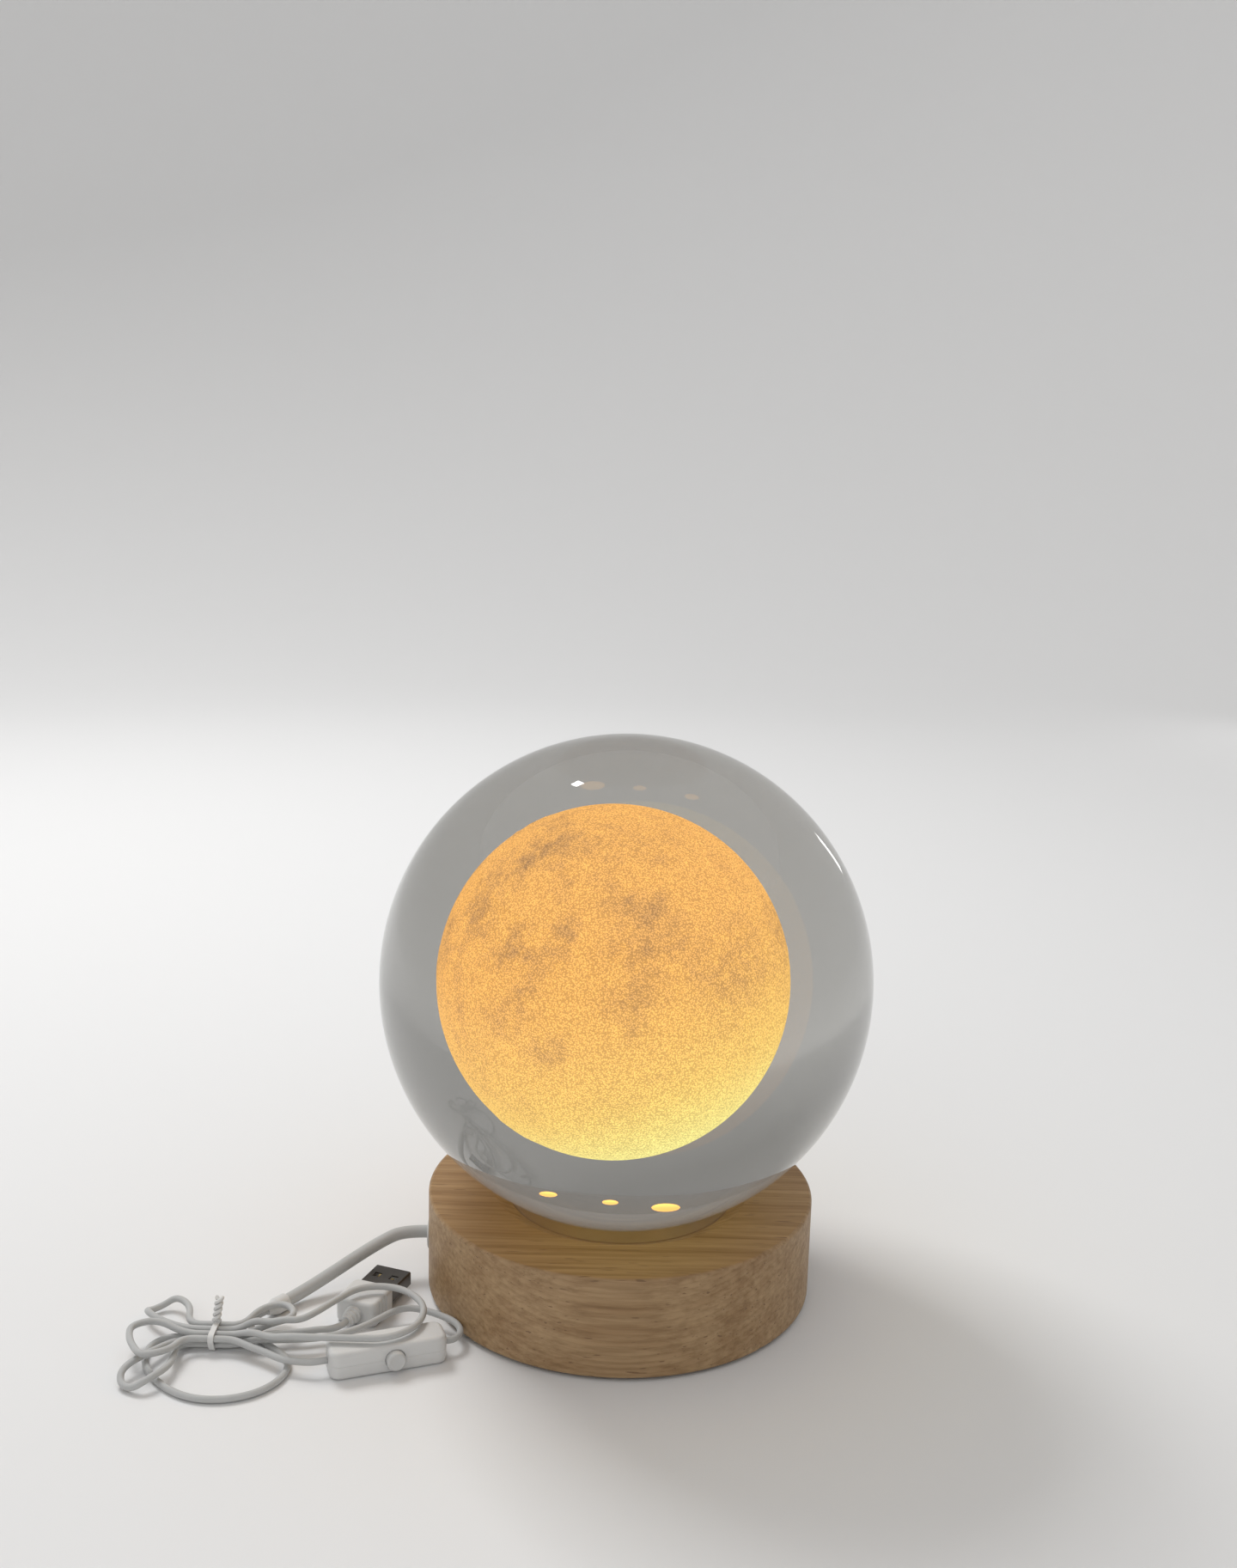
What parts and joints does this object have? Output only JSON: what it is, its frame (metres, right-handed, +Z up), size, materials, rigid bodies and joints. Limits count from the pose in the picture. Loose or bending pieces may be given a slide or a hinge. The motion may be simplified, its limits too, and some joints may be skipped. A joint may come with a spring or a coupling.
{
  "type": "glass ball table lamp",
  "caption": "Solid glass ball with an etched moon inside, resting on a lit round wooden base, with a tied cord, an inline button switch and a plug.",
  "frame": {"origin": "middle of the underside of the base's pads, on the table", "axes": "+Z up, -Y the front that faces the viewer, +X to the viewer's right; the cord leaves towards -X"},
  "size_m": [0.2171, 0.1513, 0.1751],
  "materials": {
    "glass": "polished",
    "etch": "etched, lit from below",
    "clear_plastic": "clear",
    "wood": "satin",
    "cover_board": "matt",
    "screw_steel": "satin",
    "pad_rubber": "matt",
    "board": "satin",
    "light_body": "glossy",
    "resistor": "matt",
    "red_wire": "glossy",
    "black_wire": "glossy",
    "white_plastic": "satin",
    "cord_white": "satin",
    "tie_white": "satin",
    "contact_brass": "satin",
    "spring_steel": "satin",
    "plug_steel": "satin"
  },
  "bodies": {
    "base": {"wood_base": "wood", "base_cover": "cover_board", "cover_screws": "screw_steel", "feet": "pad_rubber", "light_window": "clear_plastic", "light_board": "board", "board_screws": "screw_steel", "lights": "light_body", "light_resistors": "resistor", "feed_wire_red": "red_wire", "feed_wire_black": "black_wire", "lead_saddle": "white_plastic", "saddle_screws": "screw_steel", "lead_grommet": "white_plastic", "inner_lead": "cord_white", "lead_cord": "cord_white", "cord_reducer": "white_plastic", "cord_bottom_loop": "cord_white", "cord_hank": "cord_white", "cord_to_switch": "cord_white", "cord_from_switch": "cord_white", "cord_plug_loop": "cord_white", "cord_to_plug": "cord_white", "twist_tie": "tie_white", "switch_case_top": "white_plastic", "switch_case_bottom": "white_plastic", "switch_screws": "screw_steel", "fixed_contacts": "contact_brass", "button_spring": "spring_steel", "plug_relief": "white_plastic", "plug_body": "white_plastic", "plug_shell": "plug_steel", "plug_tongue": "white_plastic", "plug_contacts": "contact_brass"},
    "ring": {"seat_ring": "clear_plastic"},
    "ball": {"crystal_ball": "glass", "etched_moon": "etch"},
    "button": {"switch_button": "white_plastic", "contact_bridge": "contact_brass"}
  },
  "joints": [
    {"name": "ball_turn", "type": "hinge", "parent": "base", "child": "ring", "pos_m": [0, 0, 0.03], "axis": [0, 0, 1], "continuous": true},
    {"name": "ball_lift", "type": "slide", "parent": "ring", "child": "ball", "axis": [0, 0, 1], "range_m": [0, 0.08]},
    {"name": "button_press", "type": "slide", "parent": "base", "child": "button", "axis": [-0.342, 0.9397, 0], "range_m": [0, 0.0015], "stiffness_N_per_m": 250, "springref_m": -0.002, "deforming": ["button_spring"]}
  ]
}
